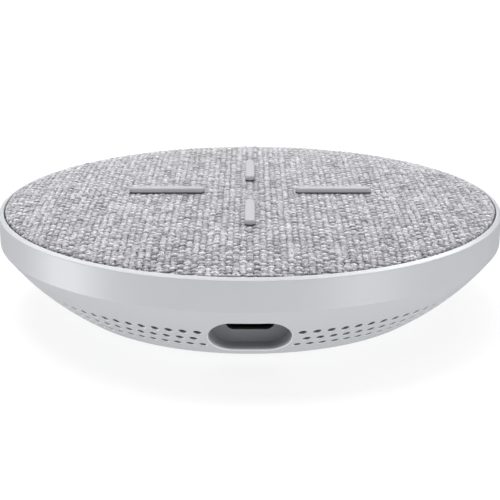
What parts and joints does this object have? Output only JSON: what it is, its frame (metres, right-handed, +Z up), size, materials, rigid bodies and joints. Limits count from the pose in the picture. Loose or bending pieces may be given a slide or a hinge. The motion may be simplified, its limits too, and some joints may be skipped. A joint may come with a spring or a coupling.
{
  "type": "wireless charging pad",
  "caption": "Round fan-cooled wireless charging pad: woven top with raised grip ribs, plain rim, bowl base with small vents and a recessed USB-C socket.",
  "frame": {"origin": "on the surface the pad stands on, under the centre of the pad", "axes": "+Z up through the charging face, -Y towards the charging socket"},
  "size_m": [0.1, 0.1, 0.0225],
  "materials": {
    "shell_plastic": "satin",
    "base_plastic": "matte",
    "foot_silicone": "matte",
    "rib_silicone": "matte",
    "woven_fabric": "woven",
    "inner_plastic": "matte",
    "copper_wire": "enamelled",
    "lead_sleeve": "satin",
    "adhesive_film": "matte",
    "ferrite": "matte",
    "circuit_board": "satin",
    "chip_package": "matte",
    "ceramic_capacitor": "matte",
    "inductor_core": "matte",
    "sensor_glass": "gloss",
    "wire_insulation": "satin",
    "connector_plastic": "matte",
    "port_steel": "blackened",
    "port_plastic": "matte",
    "gold_contact": "polished",
    "fan_plastic": "matte",
    "ring_magnet": "matte",
    "turned_steel": "polished",
    "bearing_bronze": "machined",
    "core_steel": "matte"
  },
  "bodies": {
    "pad": {"housing": "shell_plastic", "base_plate": "base_plastic", "foot_ring": "foot_silicone", "grip_rib_right": "rib_silicone", "grip_rib_back": "rib_silicone", "grip_rib_left": "rib_silicone", "grip_rib_front": "rib_silicone", "fabric_cover": "woven_fabric", "top_plate": "inner_plastic", "coil_carrier": "inner_plastic", "coil": "copper_wire", "stator_windings": "copper_wire", "coil_lead_inner": "lead_sleeve", "coil_lead_outer": "lead_sleeve", "coil_adhesive": "adhesive_film", "ferrite_sheet": "ferrite", "main_board": "circuit_board", "controller_chip": "chip_package", "power_switches": "chip_package", "bulk_capacitors": "chip_package", "resonant_capacitors": "ceramic_capacitor", "supply_inductor": "inductor_core", "coil_sensor": "sensor_glass", "coil_sensor_leads": "wire_insulation", "fan_leads": "wire_insulation", "fan_connector": "connector_plastic", "port_shell": "port_steel", "port_tongue": "port_plastic", "port_contacts": "gold_contact", "fan_case": "fan_plastic", "fan_lid": "fan_plastic", "base_screws": "turned_steel", "carrier_screws": "turned_steel", "fan_screws": "turned_steel", "fan_bearing": "bearing_bronze", "stator_core": "core_steel"},
    "fan_rotor": {"impeller": "fan_plastic", "rotor_magnet": "ring_magnet", "fan_shaft": "turned_steel"}
  },
  "joints": [
    {"name": "fan_spin", "type": "hinge", "parent": "pad", "child": "fan_rotor", "pos_m": [0, 0, 0.0055], "axis": [0, 0, 1], "continuous": true}
  ]
}
